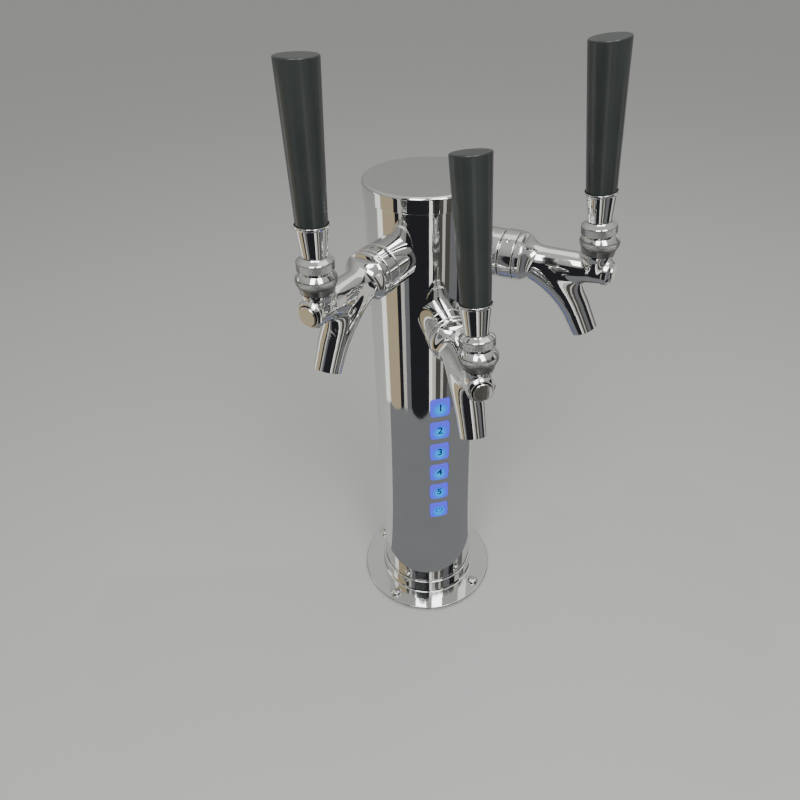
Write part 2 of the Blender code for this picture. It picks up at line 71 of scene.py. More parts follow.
# Column, cap and base
COLUMN_R = 50.8
COLUMN_WALL = 1.5
COLUMN_FOOT = 4.9
COLUMN_TOP = 478.6
CAP_R = 52.2
CAP_TOP = 481.0
CAP_BOTTOM = 468.0
CAP_SPIGOT_IN_R = 44.6
CAP_SPIGOT_R = 46.2
CAP_SPIGOT_BOTTOM = 466.0
GASKET_IN_R = 49.4
GASKET_R = 75.0
GASKET_TOP = 1.2
FLANGE_R = 76.19
FLANGE_LOW = 1.5
FLANGE_TOP = 4.6
NECK_R = 53.4
NECK_TOP = 21.6
LINE_OPENING_R = 48.4
SCREWS = 4
SCREW_HOLE_R = 3.3
SCREW_R = 2.7
SCREW_HEAD_R = 6.35
WALL_CUT = (40, 60)

# Faucets
SIDES = ("left", "front", "right")
STEM_REACH = 143.4
PIVOT_Z = 16.0
SHANK_HOLE_R = 11.6
COLLAR_R = 19.4
COLLAR_END = 70.2
NUT_START = 70.7
NUT_END = 82.7
NUT_R = 20.0
NUT_THREAD_R = 14.6
TAIL_START = 77.6
TAIL_R = 14.2
CHAMBER_R = 9.5
SHOULDER_START = 83.0
SHOULDER_R = 19.5
BOSS_RIM = 154.2
BOSS_RIM_R = 10.9
BOSS_END = 156.4
SHAFT_FRONT = 158.0
SHAFT_R = 7.3
FRONT_BORE_R = 8.0
FRONT_BORE_START = 121.8
ROD_BORE_R = 5.2
ROD_R = 3.0
ARM_R = 11.3
CASTING_CELL = 0.65
SOCKET_R = 10.9
SOCKET_TOP = 14.3
SPOUT_MOUTH = (143.2, -53.0)
SPOUT_LEAN = math.radians(28.0)
SPOUT_R = 10.8
SPOUT_BORE_R = 6.2
SPANNER_HOLE_TURN = 35

# Levers and handles, measured along the lever from the middle of its ball
BALL_R = 7.2
BONNET_SEAT_R = 7.6
FINGER_R = 3.0
LEVER_STEM_R = 3.0
STUD_R = 4.6
STUD_HOLE_R = 4.9
STUD_START = 16.5
STUD_END = 39.0
BONNET_BULGE_Z = 7.0
BONNET_BULGE_R = 14.75
BONNET_DOME_R = 16.85
RING_HOLLOW_R = 17.2
RING_TOP = 23.6
FERRULE_START = 23.9
FERRULE_TOP = 45.4
GRIP_START = 41.3
GRIP_END = 141.1
GRIP_TOP_R = 13.6

# Knurling
KNURL_PITCH = 1.7
KNURL_DEPTH = 0.5
KNURL_ROWS = 36

# Keys
KEYS = 6
KEY_WIDTH = 19.0
KEY_HEIGHT = 20.6
KEY_STAND = 0.9
KEY_CORNER = 3.2
KEY_BACK = 46.6
KEY_RIM_R = 0.8
INK_HALF = 0.04
INK_REACH = COLUMN_R + KEY_STAND + 0.03
DIGIT_SIZE = 11.4
DIGIT_WEIGHT = 0.13

# Studio, in metres
LIGHT_AIM = 0.3
ROOM_DISTANCE = 0.40
ROOM_HEIGHT = 0.52
COUNTER_START = 0.078
COUNTER_LIFT = 0.0004
FLOOR_DROP = 0.0002
FLOOR_HALF = 30.0
WHITE_BAND = (1.3, 1.3, 1.25)
LIGHT_BAND = (0.62, 0.60, 0.56)
TAN_BAND = (0.50, 0.41, 0.27)
MID_BAND = (0.17, 0.17, 0.18)
DUSK_BAND = (0.085, 0.08, 0.072)
DARK_BAND = (0.022, 0.022, 0.026)
COUNTER_TONE = (0.21, 0.215, 0.225)

flange_low, flange_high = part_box("base_flange")
AXIS = Vector(((flange_low.x + flange_high.x) / 2, (flange_low.y + flange_high.y) / 2, 0))
JOINTS = {joint["name"]: joint for joint in frame["joints"]}


# ---------------------------------------------------------------- node materials
class Nodes:
    """A small helper that adds shader nodes and joins them up."""

    def __init__(self, name):
        self.material = bpy.data.materials.new(name)
        self.material.use_nodes = True
        self.tree = self.material.node_tree
        self.shader = self.tree.nodes["Principled BSDF"]
        self.place = self.add("ShaderNodeTexCoord").outputs["Object"]

    def add(self, kind, **values):
        node = self.tree.nodes.new(kind)
        for name, value in values.items():
            setattr(node, name, value)
        return node

    def join(self, source, target):
        self.tree.links.new(source, target)

    def scaled(self, scale):
        """Object coordinates stretched by a factor on each axis."""
        mapping = self.add("ShaderNodeMapping")
        mapping.inputs["Scale"].default_value = scale
        self.join(self.place, mapping.inputs["Vector"])
        return mapping.outputs["Vector"]

    def noise(self, scale, detail=3.0, stretch=(1, 1, 1), distortion=0.0):
        node = self.add("ShaderNodeTexNoise")
        node.inputs["Scale"].default_value = scale
        node.inputs["Detail"].default_value = detail
        node.inputs["Distortion"].default_value = distortion
        self.join(self.scaled(stretch), node.inputs["Vector"])
        return node.outputs["Fac"]

    def ramp(self, source, *stops):
        """A colour ramp, from (place, grey or colour) stops."""
        node = self.add("ShaderNodeValToRGB")
        elements = node.color_ramp.elements
        while len(elements) < len(stops):
            elements.new(0.5)
        for element, (place, value) in zip(elements, stops):
            element.position = place
            element.color = (value, value, value, 1) if isinstance(value, float) else (*value, 1)
        self.join(source, node.inputs["Fac"])
        return node.outputs["Color"]

    def bump(self, source, strength, distance, below=None):
        node = self.add("ShaderNodeBump")
        node.inputs["Strength"].default_value = strength
        node.inputs["Distance"].default_value = distance
        self.join(source, node.inputs["Height"])
        if below is not None:
            self.join(below, node.inputs["Normal"])
        return node.outputs["Normal"]

    def math(self, operation, first, second):
        node = self.add("ShaderNodeMath", operation=operation)
        for socket, value in zip(node.inputs, (first, second)):
            if isinstance(value, float):
                socket.default_value = value
            else:
                self.join(value, socket)
        return node.outputs["Value"]

    def set(self, name, value):
        socket = self.shader.inputs[name]
        if isinstance(value, bpy.types.NodeSocket):
            self.join(value, socket)
        else:
            socket.default_value = value


def chrome(name="mirror_chrome", tone=(0.80, 0.81, 0.80), rough=(0.025, 0.085), waviness=0.05):
    """Polished plating: faint handling smears, hairline wiping marks and a trace of orange peel."""
    n = Nodes(name)
    smear = n.noise(22, 5.0, distortion=0.6)
    hairs = n.noise(900, 2.0, stretch=(1, 1, 0.06))
    wear = n.math("MULTIPLY", smear, hairs)
    n.set("Base Color", n.ramp(smear, (0.3, tuple(c * 0.955 for c in tone)), (0.7, tone)))
    n.set("Roughness", n.ramp(wear, (0.12, rough[0]), (0.5, rough[1])))
    n.set("Metallic", 1.0)
    peel = n.bump(n.noise(60, 2.0), waviness, 0.0004)
    n.set("Normal", n.bump(hairs, 0.02, 0.0001, peel))
    return n.material


def satin_chrome():
    """The knurled bands: plated over cut diamonds, so duller; the base colour is darkened across the whole band as
    painted shade for the grooves.
    """
    n = Nodes("knurled_chrome_painted_shade")
    grain = n.noise(1600, 3.0)
    # painted shade: the dark base colour stands in for the shade that falls in the knurl's grooves
    n.set("Base Color", n.ramp(grain, (0.3, (0.24, 0.24, 0.235)), (0.7, (0.35, 0.35, 0.34))))
    n.set("Roughness", n.ramp(grain, (0.3, 0.26), (0.7, 0.38)))
    n.set("Metallic", 1.0)
    n.set("Normal", n.bump(grain, 0.15, 0.0001))
    return n.material


def handle_plastic():
    """Semi-gloss moulded plastic, charcoal with a green cast, with a fine moulded grain and light scuffs."""
    n = Nodes("handle_plastic")
    cloud = n.noise(30, 4.0)
    grain = n.noise(2600, 2.0)
    scuff = n.noise(420, 4.0, stretch=(1, 1, 0.12))
    n.set("Base Color", n.ramp(cloud, (0.3, (0.026, 0.032, 0.0315)), (0.7, (0.033, 0.039, 0.0385))))
    n.set("Roughness", n.ramp(scuff, (0.35, 0.31), (0.75, 0.37)))
    n.set("Coat Weight", 0.15)
    n.set("Coat Roughness", 0.16)
    n.set("Normal", n.bump(grain, 0.08, 0.00015))
    return n.material


def rubber():
    n = Nodes("black_rubber")
    speckle = n.noise(1500, 3.0)
    n.set("Base Color", n.ramp(speckle, (0.3, (0.012, 0.012, 0.013)), (0.7, (0.028, 0.028, 0.029))))
    n.set("Roughness", n.ramp(speckle, (0.3, 0.62), (0.7, 0.86)))
    n.set("Normal", n.bump(speckle, 0.25, 0.0002))
    return n.material


def brass():
    """Machined brass, with fine turning rings and a patchy tarnish."""
    n = Nodes("machined_brass")
    patch = n.noise(120, 4.0)
    rings = n.noise(1200, 2.0, stretch=(0.05, 0.05, 1))
    n.set("Base Color", n.ramp(patch, (0.3, (0.50, 0.34, 0.13)), (0.7, (0.76, 0.57, 0.27))))
    n.set("Roughness", n.ramp(rings, (0.3, 0.2), (0.7, 0.42)))
    n.set("Metallic", 1.0)
    n.set("Normal", n.bump(rings, 0.12, 0.0002))
    return n.material


def bracket_metal():
    n = Nodes("rolled_aluminium")
    roll = n.noise(700, 3.0, stretch=(1, 1, 0.04))
    n.set("Base Color", n.ramp(roll, (0.3, (0.52, 0.53, 0.55)), (0.7, (0.66, 0.67, 0.69))))
    n.set("Roughness", n.ramp(roll, (0.3, 0.3), (0.7, 0.48)))
    n.set("Metallic", 1.0)
    n.set("Normal", n.bump(roll, 0.1, 0.0002))
    return n.material


def board_mask():
    """Green solder mask over copper tracks."""
    n = Nodes("solder_mask")
    tracks = n.noise(260, 0.0, stretch=(1, 1, 0.25))
    n.set("Base Color", n.ramp(tracks, (0.44, (0.02, 0.11, 0.05)), (0.5, (0.05, 0.2, 0.09))))
    n.set("Roughness", n.ramp(tracks, (0.4, 0.28), (0.6, 0.42)))
    n.set("Normal", n.bump(tracks, 0.2, 0.0001))
    return n.material


def key_glow():
    """A milky key lit from behind: a cyan core low in the face that turns violet-blue towards the rim."""
    core_below = 0.0022
    fade_across, fade_up = 112.0, 100.0
    n = Nodes("key_glow")
    split = n.add("ShaderNodeSeparateXYZ")
    n.join(n.place, split.inputs["Vector"])
    across = n.math("MULTIPLY", split.outputs["X"], fade_across)
    up = n.math("MULTIPLY", n.math("ADD", split.outputs["Z"], core_below), fade_up)
    away = n.math("ADD", n.math("MULTIPLY", across, across), n.math("MULTIPLY", up, up))
    mottle = n.math("MULTIPLY", n.noise(700, 3.0), 0.35)
    spread = n.math("ADD", away, n.math("ADD", mottle, -0.17))
    glow = n.ramp(
        spread, (0.0, (0.0, 0.42, 1.0)), (0.30, (0.0, 0.22, 1.0)), (0.75, (0.05, 0.08, 1.0)),
        (1.0, (0.08, 0.07, 0.95)),
    )
    n.set("Base Color", (0.02, 0.03, 0.06, 1))
    n.set("Emission Color", glow)
    n.set("Emission Strength", 1.25)
    n.set("Specular IOR Level", 0.15)
    n.set("Roughness", n.ramp(n.noise(900, 2.0), (0.3, 0.25), (0.7, 0.4)))
    n.set("Normal", n.bump(n.noise(1800, 2.0), 0.06, 0.0001))
    return n.material


def key_ink():
    n = Nodes("key_ink")
    grain = n.noise(3000, 2.0)
    n.set("Base Color", n.ramp(grain, (0.3, (0.002, 0.006, 0.035)), (0.7, (0.004, 0.010, 0.055))))
    n.set("Roughness", n.ramp(grain, (0.3, 0.35), (0.7, 0.5)))
    return n.material


def floor_finish():
    n = Nodes("floor")
    n.set("Base Color", (0.56, 0.56, 0.555, 1))
    n.set("Roughness", 0.6)
    return n.material


# ---------------------------------------------------------------- shapes
def rounded(points, steps=6):
    """A section with each (along, radius, fillet) corner turned into an arc of that fillet radius."""
    corners = [(Vector(point[:2]), point[2] if len(point) > 2 else 0) for point in points]
    section = [tuple(corners[0][0])]
    for (before, _), (corner, fillet), (after, _) in zip(corners, corners[1:], corners[2:]):
        if not fillet:
            section.append(tuple(corner))
            continue
        back = (before - corner).normalized()
        ahead = (after - corner).normalized()
        half = back.angle(ahead) / 2
        centre = corner + (back + ahead).normalized() * (fillet / math.sin(half))
        start = corner + back * (fillet / math.tan(half)) - centre
        end = corner + ahead * (fillet / math.tan(half)) - centre
        sweep = math.atan2(start.x * end.y - start.y * end.x, start.dot(end))
        for k in range(steps + 1):
            turn = sweep * k / steps
            section.append((
                centre.x + start.x * math.cos(turn) - start.y * math.sin(turn),
                centre.y + start.x * math.sin(turn) + start.y * math.cos(turn),
            ))
    section.append(tuple(corners[-1][0]))
    return section


def arc(radius, degrees, middle=0.0):
    """Section points on a circle about the axis, each in degrees up from square across it."""
    return [(middle + radius * math.sin(turn), radius * math.cos(turn)) for turn in np.radians(degrees)]


def closed_mesh(name, verts, faces):
    """A mesh from points in mm, with its faces turned outwards."""
    mesh = bpy.data.meshes.new(name)
    mesh.from_pydata([tuple(c * MM for c in vert) for vert in verts], [], faces)
    bm = bmesh.new()
    bm.from_mesh(mesh)
    bmesh.ops.recalc_face_normals(bm, faces=bm.faces)
    bm.to_mesh(mesh)
    bm.free()
    return mesh


def turned(name, section, steps=ROUND_STEPS, wave=None):
    """A turned piece about local Z, from (along, radius) points.

    It is solid if the section meets the axis, else a ring. wave(along, turn) is added to the radius.
    """
    verts, rows, faces = [], [], []
    for along, radius in section:
        if radius < 1e-6:
            rows.append([len(verts)] * steps)
            verts.append((0, 0, along))
            continue
        rows.append(list(range(len(verts), len(verts) + steps)))
        for k in range(steps):
            turn = math.tau * k / steps
            r = radius + (wave(along, turn) if wave else 0)
            verts.append((r * math.cos(turn), r * math.sin(turn), along))
    pairs = list(zip(rows, rows[1:]))
    if section[0][1] > 1e-6:
        pairs.append((rows[-1], rows[0]))
    for first, second in pairs:
        for k in range(steps):
            j = (k + 1) % steps
            faces.append(list(dict.fromkeys((first[k], first[j], second[j], second[k]))))
    return closed_mesh(name, verts, faces)


def cylinder(name, low, high, radius, steps):
    """A plain cylinder about local Z, from z = low to z = high."""
    return turned(name, ((low, 0), (low, radius), (high, radius), (high, 0)), steps)


def rounded_prism(name, width, height, corner, low, high, steps=10):
    """A rounded rectangle across x and y, from z = low to z = high."""
    outline = []
    for quarter, (side, up) in enumerate(((1, 1), (-1, 1), (-1, -1), (1, -1))):
        for k in range(steps + 1):
            turn = math.radians(90 * (quarter + k / steps))
            x = side * (width / 2 - corner) + corner * math.cos(turn)
            outline.append((x, up * (height / 2 - corner) + corner * math.sin(turn)))
    count = len(outline)
    verts = [(x, y, low) for x, y in outline] + [(x, y, high) for x, y in outline]
    faces = [list(range(count)), list(range(count, 2 * count))]
    faces += [[k, (k + 1) % count, (k + 1) % count + count, k + count] for k in range(count)]
    return closed_mesh(name, verts, faces)


def combined(name, base, *steps):
    """The mesh of base after each (operation, mesh) is joined to it or cut from it."""
    body = bpy.data.objects.new(name, base)
    bpy.context.scene.collection.objects.link(body)
    tools = []
    for operation, mesh in steps:
        tool = bpy.data.objects.new(name + "_tool", mesh)
        bpy.context.scene.collection.objects.link(tool)
        tools.append(tool)
        modifier = body.modifiers.new(operation.lower(), "BOOLEAN")
        modifier.operation = operation
        modifier.solver = "MANIFOLD"
        modifier.object = tool
    graph = bpy.context.evaluated_depsgraph_get()
    mesh = bpy.data.meshes.new_from_object(body.evaluated_get(graph))
    mesh.name = name
    for obj in [body, *tools]:
        bpy.data.objects.remove(obj)
    return mesh


def moved(mesh, matrix):
    mesh.transform(matrix)
    return mesh


def shift(x=0.0, y=0.0, z=0.0):
    return Matrix.Translation(Vector((x, y, z)) * MM)


def true_normals(mesh, normal_at, sharp=30, agreeing=20):
    """Gives each corner the exact surface normal, where normal_at(points) has one that suits its face."""
    mesh.shade_smooth()
    mesh.set_sharp_from_angle(angle=math.radians(sharp))
    loops = len(mesh.loops)
    corner = np.empty(loops * 3)
    mesh.corner_normals.foreach_get("vector", corner)
    corner = corner.reshape(-1, 3)
    points = np.empty(len(mesh.vertices) * 3)
    mesh.vertices.foreach_get("co", points)
    points = points.reshape(-1, 3)
    of_corner = np.empty(loops, int)
    mesh.loops.foreach_get("vertex_index", of_corner)
    sizes = np.empty(len(mesh.polygons), int)
    mesh.polygons.foreach_get("loop_total", sizes)
    flat = np.empty(len(mesh.polygons) * 3)
    mesh.polygons.foreach_get("normal", flat)
    flat = np.repeat(flat.reshape(-1, 3), sizes, axis=0)
    exact, known = normal_at(points / MM)
    exact, known = exact[of_corner], known[of_corner]
    known &= np.einsum("ij,ij->i", exact, flat) > math.cos(math.radians(agreeing))
    corner[known] = exact[known]
    mesh.normals_split_custom_set(corner.tolist())
    return mesh


def radial_normals(*radii):
    """The exact normal on cylinders about local Z with these radii."""
    def normal_at(points):
        reach = np.hypot(points[:, 0], points[:, 1])
        normal = np.zeros_like(points)
        normal[:, :2] = points[:, :2] / np.maximum(reach, 1e-9)[:, None]
        known = np.zeros(len(points), bool)
        for radius in radii:
            known |= np.abs(reach - radius) < 0.02
        return normal, known
    return normal_at


def piece(name, mesh, matrix, body, finish, replaces=(), weighted=True):
    """One visible piece, put in place, riding on its body and standing for its CAD nodes."""
    spot, turn, _ = matrix.decompose()
    mesh = mesh.copy()
    mesh.transform(turn.to_matrix().to_4x4())
    mesh.materials.clear()
    mesh.materials.append(finish)
    obj = bpy.data.objects.new(name, mesh)
    bpy.context.scene.collection.objects.link(obj)
    obj.location = spot
    if weighted:
        mesh.shade_smooth()
        mesh.set_sharp_from_angle(angle=math.radians(40))
        modifier = obj.modifiers.new("true_flats", "WEIGHTED_NORMAL")
        modifier.keep_sharp = True
        modifier.weight = 80
    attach(obj, body)
    if replaces:
        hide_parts(*replaces)
    return obj


# ---------------------------------------------------------------- places
def place(x=0.0, y=0.0, z=0.0):
    return Matrix.Translation(AXIS) @ shift(x, y, z)


def faucet_place(side):
    """Local x across the faucet, y up and z outwards, from the column's axis at the shank's height."""
    joint = JOINTS[f"{side}_lever_tilt"]
    across = Vector(joint["axis"])
    up = Vector((0, 0, 1))
    out = across.cross(up)
    turn = Matrix((across, up, out)).transposed().to_4x4()
    height = joint["pos_m"][2] - PIVOT_Z * MM
    return Matrix.Translation((AXIS.x, AXIS.y, height)) @ turn


def stem_place(side):
    """Local z up from the middle of the lever's ball."""
    joint = JOINTS[f"{side}_lever_tilt"]
    across = Vector(joint["axis"])
    return Matrix.Translation(joint["pos_m"]) @ Matrix.Rotation(math.atan2(across.y, across.x), 4, "Z")


def lever_place(side):
    """Local z along the lever from the middle of its ball."""
    pivot = Vector(JOINTS[f"{side}_lever_tilt"]["pos_m"])
    grip = frame["nodes"][f"{side}_handle_grip"].data.vertices
    middle = sum((vert.co for vert in grip), Vector()) / len(grip)
    along = (middle - pivot).normalized()
    out = Vector((0, 0, 1)).cross(Vector(JOINTS[f"{side}_lever_tilt"]["axis"]))
    across = out.cross(along).normalized()
    turn = Matrix((across, along.cross(across), along)).transposed().to_4x4()
    return Matrix.Translation(pivot) @ turn


# ---------------------------------------------------------------- column, cap and base
def key_height(number):
    low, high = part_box(f"key_{number}")
    return (low.z + high.z) / 2 / MM


def column():
    """The tube, with its key windows and shank holes cut through the wall."""
    inner = COLUMN_R - COLUMN_WALL
    section = rounded((
        (COLUMN_FOOT, inner), (COLUMN_FOOT, COLUMN_R), (COLUMN_TOP, COLUMN_R), (COLUMN_TOP, inner)
    ))
    tube = turned("column", section, COLUMN_STEPS)
    cuts = []
    front = Matrix.Rotation(math.radians(90), 4, "X")
    width, height = KEY_WIDTH + 2 * GAP, KEY_HEIGHT + 2 * GAP
    for number in range(1, KEYS + 1):
        window = rounded_prism("window", width, height, KEY_CORNER + GAP, *WALL_CUT)
        cuts.append(("DIFFERENCE", moved(window, shift(z=key_height(number)) @ front)))
    to_column = Matrix.Translation(-AXIS)
    for side in SIDES:
        hole = cylinder("shank_hole", *WALL_CUT, SHANK_HOLE_R, 48)
        cuts.append(("DIFFERENCE", moved(hole, to_column @ faucet_place(side))))
    mesh = combined("column", tube, *cuts)
    return true_normals(mesh, radial_normals(COLUMN_R))


def top_cap():
    """A flat cap with a rounded edge, a skirt outside the tube and a spigot inside it."""
    skirt_in = COLUMN_R + GAP
    crown = CAP_TOP - 1.8
    section = rounded((
        (crown, 0), (crown, CAP_SPIGOT_IN_R), (CAP_SPIGOT_BOTTOM, CAP_SPIGOT_IN_R),
        (CAP_SPIGOT_BOTTOM, CAP_SPIGOT_R), (crown, CAP_SPIGOT_R), (crown, skirt_in),
        (CAP_BOTTOM, skirt_in), (CAP_BOTTOM, CAP_R, 0.3), (CAP_TOP, CAP_R, 2.6), (CAP_TOP, 0),
    ), 10)
    return turned("top_cap", section, COLUMN_STEPS)


def screw_holes(high):
    holes = []
    for number in range(1, SCREWS + 1):
        hole = cylinder("screw_hole", -1, high, SCREW_HOLE_R, 32)
        holes.append(("DIFFERENCE", moved(hole, Matrix.Translation(screw_spot(number) - AXIS))))
    return holes


def base_flange():
    """A flat flange with a neck round the tube's foot."""
    section = rounded((
        (FLANGE_LOW, LINE_OPENING_R), (FLANGE_LOW, FLANGE_R, 0.4), (FLANGE_TOP, FLANGE_R, 1.2),
        (FLANGE_TOP, NECK_R, 1.8), (NECK_TOP, NECK_R, 1.0), (NECK_TOP, COLUMN_R + GAP, 0.3),
        (FLANGE_TOP, COLUMN_R + GAP), (FLANGE_TOP, LINE_OPENING_R),
    ), 8)
    return combined("base_flange", turned("base_flange", section, COLUMN_STEPS), *screw_holes(9))


def base_gasket():
    """A thin rubber ring under the flange."""
    section = ((0, GASKET_IN_R), (0, GASKET_R), (GASKET_TOP, GASKET_R), (GASKET_TOP, GASKET_IN_R))
    return combined("base_gasket", turned("base_gasket", section, COLUMN_STEPS), *screw_holes(3))


def screw_spot(number):
    low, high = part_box(f"mounting_screw_{number}")
    return Vector(((low.x + high.x) / 2, (low.y + high.y) / 2, 0))


def mounting_screw():
    """A pan-head screw with a cross recess."""
    seat = FLANGE_TOP + GAP
    section = rounded((
        (0.4, 0), (0.4, SCREW_R), (seat, SCREW_R), (seat, SCREW_HEAD_R, 0.25),
        (seat + 1.2, SCREW_HEAD_R, 0.8), (seat + 3.4, 4.4, 3.0), (seat + 4.0, 0),
    ), 6)
    recess = []
    for turn in (0, 90):
        slot = rounded_prism("slot", 5.4, 1.3, 0.2, seat + 1.6, seat + 6, 2)
        recess.append(("DIFFERENCE", moved(slot, Matrix.Rotation(math.radians(turn), 4, "Z"))))
    return combined("mounting_screw", turned("mounting_screw", section, 64), *recess)


def build_column(finish):
    piece("column", column(), place(), "tower", finish["chrome"], ["column_tube"], weighted=False)
    piece("cap", top_cap(), place(), "cap", finish["chrome"], ["top_cap"])
    piece("flange", base_flange(), place(), "tower", finish["chrome"], ["base_flange"])
    piece("gasket", base_gasket(), place(), "tower", finish["rubber"], ["base_gasket"])
    screw = mounting_screw()
    for number in range(1, SCREWS + 1):
        turn = Matrix.Rotation(math.radians(37 * number), 4, "Z")
        where = Matrix.Translation(screw_spot(number)) @ turn
        name = f"mounting_screw_{number}"
        piece(f"screw_{number}", screw, where, "tower", finish["chrome"], [name])


# ---------------------------------------------------------------- the faucet's body, as one blended casting
def smooth_union(first, second, blend):
    """The smaller of two distances, eased over a width of blend."""
    ease = np.maximum(blend - np.abs(first - second), 0) / blend
    return np.minimum(first, second) - ease**3 * blend / 6


def smooth_step(x, low, high):
    t = np.clip((x - low) / (high - low), 0, 1)
    return t * t * (3 - 2 * t)


def above_mouth(distance):
    reach, height = SPOUT_MOUTH
    return np.array((reach - distance * math.sin(SPOUT_LEAN), height + distance * math.cos(SPOUT_LEAN)))


def spout_line(count=60):
    """Points (reach, height) along the middle of the spout, and how far along it each one is, from 0 to 1."""
    start, pull = np.array((96.0, -4.0)), np.array((111.0, -9.0))
    t = np.linspace(0, 1, count)[:, None]
    curve = (
        (1 - t) ** 3 * start + 3 * (1 - t) ** 2 * t * pull + 3 * (1 - t) * t * t * above_mouth(36)
        + t**3 * above_mouth(18)
    )
    straight = above_mouth(18) + (above_mouth(-4) - above_mouth(18)) * np.linspace(0, 1, 12)[1:, None]
    return np.vstack((curve, straight))


def distance_to_line(reach, height, line):
    """The distance in the plane from each point to a polyline, and the place along it from 0 to 1."""
    best = np.full(reach.shape, 1e9)
    where = np.zeros(reach.shape)
    for k, (a, b) in enumerate(zip(line, line[1:])):
        along = b - a
        t = ((reach - a[0]) * along[0] + (height - a[1]) * along[1]) / along.dot(along)
        low = -9.0 if k == 0 else 0.0
        t = np.clip(t, low, 1)
        away = np.hypot(reach - a[0] - t * along[0], height - a[1] - t * along[1])
        nearer = away < best
        best = np.where(nearer, away, best)
        where = np.where(nearer, (k + t) / (len(line) - 1), where)
    return best, where


def casting_field(points):
    """How far each (across, up, out) point lies outside the faucet's casting, in mm.

    It is an arm that swells to the shoulder and narrows to the boss, a spout that thins towards its mouth,
    and an upright socket for the bonnet, eased into each other.
    """
    across, up, out = points.T
    taper = 0.9 * smooth_step(out, 126, 150)
    swell = 8.3 * np.exp(-(((out - 86.8) / 7.4) ** 2))
    arm = np.hypot(across, up) - np.minimum(ARM_R + swell - taper, SHOULDER_R)
    arm = np.maximum(arm, out - (BOSS_RIM - 3.4))
    in_plane, where = distance_to_line(out, up, spout_line())
    belly = 2.4 * (1 - np.minimum(where / 0.95, 1) ** 3)
    spout = np.hypot(in_plane, across) - SPOUT_R - belly
    blend = 5.0 + 11.0 * smooth_step(out, 112, 136)
    body = smooth_union(arm, spout, blend)
    foot = np.minimum(up - 1.2, 0)
    flare = 1.4 * smooth_step(up, 7.5, SOCKET_TOP)
    socket = np.sqrt(across**2 + (out - STEM_REACH) ** 2 + foot**2) - SOCKET_R - flare
    body = smooth_union(body, socket, 3.2)
    mouth = (out - SPOUT_MOUTH[0]) * math.sin(SPOUT_LEAN) - (up - SPOUT_MOUTH[1]) * math.cos(SPOUT_LEAN)
    body = np.maximum(body, mouth + 1.6)
    body = np.maximum(body, up - SOCKET_TOP)
    return np.maximum(body, SHOULDER_START + 0.8 - out)


def field_slope(points, step=0.02):
    slope = np.empty_like(points)
    for axis in range(3):
        ahead, behind = points.copy(), points.copy()
        ahead[:, axis] += step
        behind[:, axis] -= step
        slope[:, axis] = (casting_field(ahead) - casting_field(behind)) / (2 * step)
    return slope


def casting_normals(points):
    slope = field_slope(points)
    known = np.abs(casting_field(points)) < 0.015
    return slope / np.maximum(np.linalg.norm(slope, axis=1), 1e-9)[:, None], known


def contoured(name, low, high, cell):
    """A closed mesh of the casting's surface: one point for each grid cell it crosses, eased onto it."""
    axes = [np.arange(a, b + cell, cell) for a, b in zip(low, high)]
    grid = np.stack(np.meshgrid(*axes, indexing="ij"), axis=-1)
    shape = grid.shape[:3]
    inside = (casting_field(grid.reshape(-1, 3)) < 0).reshape(shape)
    corners = sum(
        inside[i:shape[0] - 1 + i, j:shape[1] - 1 + j, k:shape[2] - 1 + k].astype(int)
        for i in (0, 1) for j in (0, 1) for k in (0, 1)
    )
    cells = (corners > 0) & (corners < 8)
    number = np.full(cells.shape, -1)
    number[cells] = np.arange(cells.sum())
    points = np.argwhere(cells) * cell + np.array(low) + cell / 2
    for _ in range(4):
        slope = field_slope(points)
        size = np.maximum((slope**2).sum(axis=1), 0.2)
        step = slope * (casting_field(points) / size)[:, None]
        points = points - np.clip(step, -cell, cell)
    faces = []
    for axis in range(3):
        first, second = [a for a in range(3) if a != axis]
        cut = np.argwhere(np.diff(inside.astype(int), axis=axis) != 0)
        cut = cut[(cut[:, first] > 0) & (cut[:, second] > 0)]
        ring = []
        for back_first, back_second in ((1, 1), (0, 1), (0, 0), (1, 0)):
            around = cut.copy()
            around[:, first] -= back_first
            around[:, second] -= back_second
            ring.append(number[tuple(around.T)])
        faces.append(np.stack(ring, axis=1))
    return closed_mesh(name, points.tolist(), np.vstack(faces).tolist())


